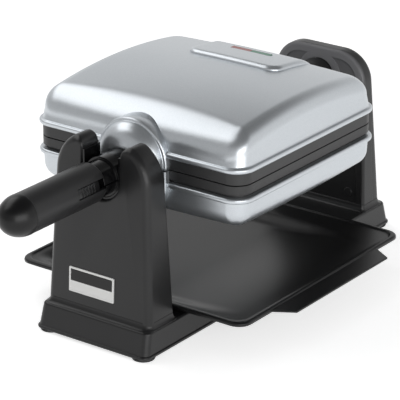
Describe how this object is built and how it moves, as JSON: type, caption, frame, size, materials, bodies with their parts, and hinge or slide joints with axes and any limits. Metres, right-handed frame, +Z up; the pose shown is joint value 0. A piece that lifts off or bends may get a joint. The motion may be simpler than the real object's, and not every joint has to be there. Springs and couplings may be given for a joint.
{
  "type": "waffle maker",
  "caption": "Rotating waffle maker: a hinged square iron with silver covers, lamps and a handle turns on an axis between the posts of a black stand, above a pull-out drip tray.",
  "frame": {"origin": "on the floor, at the centre of the feet of the stand", "axes": "+Z up, +Y from the handle to the rear post along the axis the iron turns on, +X towards the tray's pull flap"},
  "size_m": [0.2544, 0.4727, 0.1976],
  "materials": {
    "silver_cover": "satin silver paint",
    "stand_black": "fine matt grain",
    "gloss_black": "polished",
    "grip_black": "satin",
    "frame_grey": "satin",
    "inner_white": "plain moulded",
    "cast_coated": "dark non-stick coating",
    "cast_black": "black paint",
    "sheet_bright": "bright sheet",
    "steel_bright": "zinc plated",
    "heater_steel": "heat darkened",
    "foot_rubber": "matt",
    "lens_red": "clear tinted",
    "lens_green": "clear tinted",
    "bulb_glass": "clear"
  },
  "bodies": {
    "base": {"base_shell": "stand_black", "base_plate": "stand_black", "rubber_feet": "foot_rubber", "base_screws": "steel_bright", "front_tower": "stand_black", "front_tower_back": "stand_black", "rear_tower": "stand_black", "rear_tower_back": "stand_black", "tower_screws": "steel_bright", "cradle_liner": "gloss_black", "rear_bearing": "inner_white", "badge_plate": "sheet_bright", "lead_inlet": "grip_black", "terminal_block": "inner_white"},
    "tray": {"drip_tray": "gloss_black"},
    "lower_half": {"lower_cover": "silver_cover", "lower_frame": "frame_grey", "lower_plate": "cast_coated", "lower_heater": "heater_steel", "lower_reflector": "sheet_bright", "lower_reflector_nuts": "steel_bright", "lower_cover_screws": "steel_bright", "lower_neck": "gloss_black", "rear_yoke": "cast_black", "hinge_pins": "steel_bright", "yoke_screws": "steel_bright", "shaft_clip": "steel_bright", "thermostat": "steel_bright", "thermal_fuse": "steel_bright"},
    "thermostat_pin_body": {"thermostat_pin": "steel_bright"},
    "upper_half": {"upper_cover": "silver_cover", "upper_frame": "frame_grey", "upper_plate": "cast_coated", "upper_heater": "heater_steel", "upper_reflector": "sheet_bright", "upper_reflector_nuts": "steel_bright", "upper_cover_screws": "steel_bright", "red_lens": "lens_red", "green_lens": "lens_green", "lamp_bulbs": "bulb_glass", "lamp_holder": "inner_white", "handle_neck": "gloss_black", "handle_grip": "grip_black", "handle_end_cap": "gloss_black", "handle_screw": "steel_bright"},
    "lock": {"lock_slide": "gloss_black"}
  },
  "joints": [
    {"name": "iron_turn", "type": "hinge", "parent": "base", "child": "lower_half", "pos_m": [0, 0, 0.144], "axis": [0, 1, 0], "range_deg": [0, 180]},
    {"name": "lid_open", "type": "hinge", "parent": "lower_half", "child": "upper_half", "pos_m": [0, 0.096, 0.157], "axis": [1, 0, 0], "range_deg": [-100, 0]},
    {"name": "tray_pull", "type": "slide", "parent": "base", "child": "tray", "axis": [1, 0, 0], "range_m": [0, 0.18]},
    {"name": "lock_push", "type": "slide", "parent": "upper_half", "child": "lock", "axis": [0, 1, 0], "range_m": [0, 0.007]},
    {"name": "thermostat_pin_travel", "type": "slide", "parent": "lower_half", "child": "thermostat_pin_body", "axis": [0, 0, -1], "range_m": [0, 0.0006], "stiffness_N_per_m": 20, "springref_m": -0.001}
  ]
}
